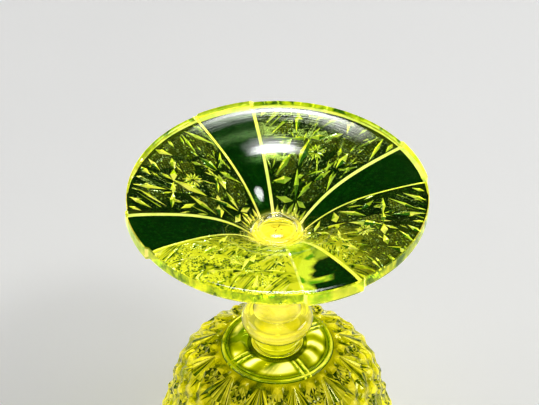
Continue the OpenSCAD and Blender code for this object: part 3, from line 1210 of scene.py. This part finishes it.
def stem_materials(name, pale, olive, strength):
    """Yellow glass of the turned pieces, olive in patches, with painted light in its glow and painted shade
    that darkens its outline.
    """
    def tint(t):
        body = mottle(t, 90, [(0.3, tuple(0.6 * c for c in pale)), (0.7, pale)])
        return times(t, body, ramp(t, grazing(t), [(0.4, WHITE), (0.7, (0.05, 0.12, 0))]))

    def glow(t):
        body = mottle(t, 75, [(0.38, olive), (0.5, pale)], detail=2, stretch=(1, 1, 1.4), warp=0.4)
        return times(t, body, ramp(t, grazing(t), [(0.34, WHITE), (0.6, (0.04, 0.07, 0))]))

    return {"upper": glass(name, tint, glow, strength, **CALM, gloss=WHITE)}


def petal_painted_light(t):
    """Painted light and shade: bright ridges, and petals washed with patches of painted light, painted shade
    and pale painted highlight.
    """
    shade = faceted([(0.1, (0.01, 0.03, 0)), (0.35, (0.28, 0.3, 0)), (0.6, (0.58, 0.56, 0.02)),
                     (0.9, (0.95, 0.85, 0.2))])
    stops = [(0.4, (0.06, 0.15, 0)), (0.48, (0.75, 0.77, 0.4)), (0.58, (1.3, 1.3, 2.2))]
    return times(t, shade(t), mottle(t, 42, stops, warp=1.0))


def foot_ground_painted_light(t):
    """Painted light, brightest on top of the round knobs and dark in the hollows between them."""
    heights = faceted([(0.15, (0.03, 0.06, 0)), (0.5, (0.5, 0.46, 0)), (0.8, (1, 0.84, 0.03))])
    stops = [(0.36, (0.12, 0.2, 0)), (0.46, (0.7, 0.7, 0.3)), (0.6, WHITE)]
    return times(t, heights(t), mottle(t, 95, stops, warp=1.0))


def foot_cut_painted_light(t):
    # painted light and shade, facet by facet
    facets = faceted([(0.28, (0.0, 0.02, 0)), (0.45, (0.3, 0.33, 0)), (0.75, (0.85, 0.76, 0.04))])
    return times(t, facets(t), mottle(t, 200, [(0.32, (0.35, 0.4, 0.3)), (0.55, WHITE)]))


def foot_materials():
    # the rosette's tint follows its painted light and shade: dark grooves, olive petals, pale ridges
    petal_painted_shade_and_light = faceted([(0.1, (0.01, 0.05, 0)), (0.6, (0.35, 0.38, 0.01)), (0.9, (0.9, 0.85, 0.1))])
    ground_tint = mottled(60, [(0.3, (0.05, 0.08, 0)), (0.7, (0.4, 0.38, 0.002))])
    # tint of the foot's cut facets, dark on some and lighter on others: painted shade, facet by facet
    cut_facet_painted_shade = faceted([(0.2, (0.01, 0.03, 0)), (0.5, (0.15, 0.16, 0)), (0.9, (0.5, 0.45, 0.002))])
    # the hollow under the foot: a dark tint of painted shade, and dim painted light
    inside_painted_shade = mottled(70, [(0.35, (0.005, 0.015, 0)), (0.65, (0.06, 0.065, 0))])
    inside_painted_light = mottled(70, [(0.42, (0.005, 0.02, 0)), (0.6, (0.25, 0.26, 0))], warp=0.8)
    return {
        "petal": glass("foot_petal_glass", petal_painted_shade_and_light, petal_painted_light, 1.3, wave=(50, 0.00004)),
        "ground": glass("foot_ground_glass", ground_tint, foot_ground_painted_light, 0.7, **CALM, clear=0.8),
        "cut": glass("foot_cut_glass", cut_facet_painted_shade, foot_cut_painted_light, 0.7, clear=0.8),
        "hatch": glass("foot_hatch_glass", cut_facet_painted_shade, foot_cut_painted_light, 0.5, (0.08, 0.16), clear=0.6),
        "rim": glass("foot_rim_glass", ground_tint, foot_ground_painted_light, 0.6, **CALM),
        "inside": glass("foot_inside_glass", inside_painted_shade, inside_painted_light, 0.4, **CALM),
    }


# ---------------- camera, lights and floor
VIEW_ELEVATION = math.radians(39.86)
VIEW_DISTANCE = 1082.0           # from the middle of the rim
VIEW_LENS = 168.9
VIEW_LEFT = 3.47                 # the camera stands this far left of the axis
VIEW_DOWN = 4.62                 # and this far below the line through the middle of the rim
FLOOR_REACH = 4.0                # metres


def add_camera():
    data = bpy.data.cameras.new("camera")
    data.lens = VIEW_LENS
    data.sensor_width = 36.0
    data.clip_start = 0.05
    camera = bpy.data.objects.new("camera", data)
    c, s = math.cos(VIEW_ELEVATION), math.sin(VIEW_ELEVATION)
    camera.location = (-VIEW_LEFT * MM, -(VIEW_DISTANCE * c + VIEW_DOWN * s) * MM,
                       (RIM_Z + VIEW_DISTANCE * s - VIEW_DOWN * c) * MM)
    camera.rotation_euler = (math.pi / 2 - VIEW_ELEVATION, 0, 0)
    scene.collection.objects.link(camera)
    scene.camera = camera


def soft_box(name, azimuth, elevation, width, height, radiance, edge, away=1.3):
    """A soft box that faces the dish from some metres away, and fades over a share, edge, of its half width.

    Azimuth 0 is at +Y, and 90 at +X.
    """
    data = bpy.data.lights.new(name, "AREA")
    data.shape = "RECTANGLE"
    data.size, data.size_y = width, height
    data.energy = radiance * math.pi * width * height
    data.use_nodes = True
    tree = data.node_tree
    place = node(tree, "NewGeometry", {}).outputs["Parametric"]
    off = node(tree, "VectorMath", {0: place, 1: (0.5, 0.5, 0)}, operation="SUBTRACT").outputs[0]
    length = node(tree, "VectorMath", {0: off}, operation="LENGTH").outputs["Value"]
    limits = {"From Min": 0.5 * (1 - edge), "From Max": 0.5, "To Min": 1, "To Max": 0}
    share = node(tree, "MapRange", {"Value": length, **limits}, interpolation_type="SMOOTHSTEP")
    feed(tree, tree.nodes["Emission"], {"Strength": share.outputs["Result"]})
    light = bpy.data.objects.new(name, data)
    a, e = math.radians(azimuth), math.radians(elevation)
    way = Vector((math.sin(a) * math.cos(e), math.cos(a) * math.cos(e), math.sin(e)))
    light.location = Vector((0, 0, RIM_Z * MM)) + away * way
    light.rotation_euler = way.to_track_quat("Z", "Y").to_euler()
    scene.collection.objects.link(light)


def add_world():
    """A pale room that is dark overhead, so that the soft boxes read clearly in the glass."""
    world = bpy.data.worlds.new("soft_room")
    world.use_nodes = True
    tree = world.node_tree
    way = node(tree, "TexCoord", {}).outputs["Generated"]
    height = node(tree, "SeparateXYZ", {0: way}).outputs["Z"]
    shade = ramp(tree, height, [(0.0, (0.75, 0.75, 0.74)), (0.05, grey(0.6)), (0.13, grey(0.015))])
    feed(tree, tree.nodes["Background"], {"Color": shade})
    scene.world = world


def add_lights():
    soft_box("main_soft_box", 3, 69.8, 0.44, 0.27, 28, edge=0.7)
    soft_box("soft_box_frame", 4, 66.5, 0.38, 0.36, 5.4, away=1.35, edge=0.6)
    soft_box("back_strip", -0.5, 50.4, 0.26, 0.19, 22, edge=0.9)
    soft_box("side_strip", 117, 56, 0.42, 0.40, 20, edge=0.6)
    soft_box("right_fill", 95, 16, 1.5, 0.55, 6, away=1.7, edge=0.4)
    soft_box("left_fill", 265, 16, 1.5, 0.55, 3, away=1.7, edge=0.4)
    add_world()


def add_floor():
    """A plain floor of pale, matt paper."""
    mesh = bpy.data.meshes.new("pale_floor")
    corners = [(-FLOOR_REACH, -FLOOR_REACH, 0), (FLOOR_REACH, -FLOOR_REACH, 0),
               (FLOOR_REACH, FLOOR_REACH, 0), (-FLOOR_REACH, FLOOR_REACH, 0)]
    mesh.from_pydata(corners, [], [(0, 1, 2, 3)])
    floor = bpy.data.objects.new("pale_floor", mesh)
    material, tree, shader = new_material("pale_paper")
    tone = mottle(tree, 3, [(0.3, (0.84, 0.84, 0.83)), (0.7, (0.88, 0.88, 0.87))], detail=4)
    feed(tree, shader, {"Base Color": tone, "Emission Color": tone, "Emission Strength": 0.32,
                        "Roughness": 0.8, "Specular IOR Level": 0.2})
    bump(tree, shader, noise(tree, 900), 0.0001)
    mesh.materials.append(material)
    scene.collection.objects.link(floor)


# ---------------- everything together
def add_piece(piece, node):
    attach(piece, "root")
    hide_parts(node)


add_camera()
stem_glass = stem_materials("stem_yellow_glass", (0.86, 0.78, 0.12), (0.42, 0.42, 0.01), 0.34)
merese_glass = stem_materials("merese_olive_glass", (0.62, 0.58, 0.02), (0.03, 0.11, 0), 0.3)
add_piece(make_dish(dish_materials()), "dish")
add_piece(make_stem(stem_glass), "stem")
add_piece(make_knop(stem_glass), "knop")
add_piece(make_merese(merese_glass), "merese")
add_piece(make_foot(foot_materials()), "foot")
add_lights()
add_floor()
scene.view_settings.view_transform = "Standard"
scene.cycles.max_bounces = 24
scene.cycles.transmission_bounces = 24
scene.cycles.glossy_bounces = 8
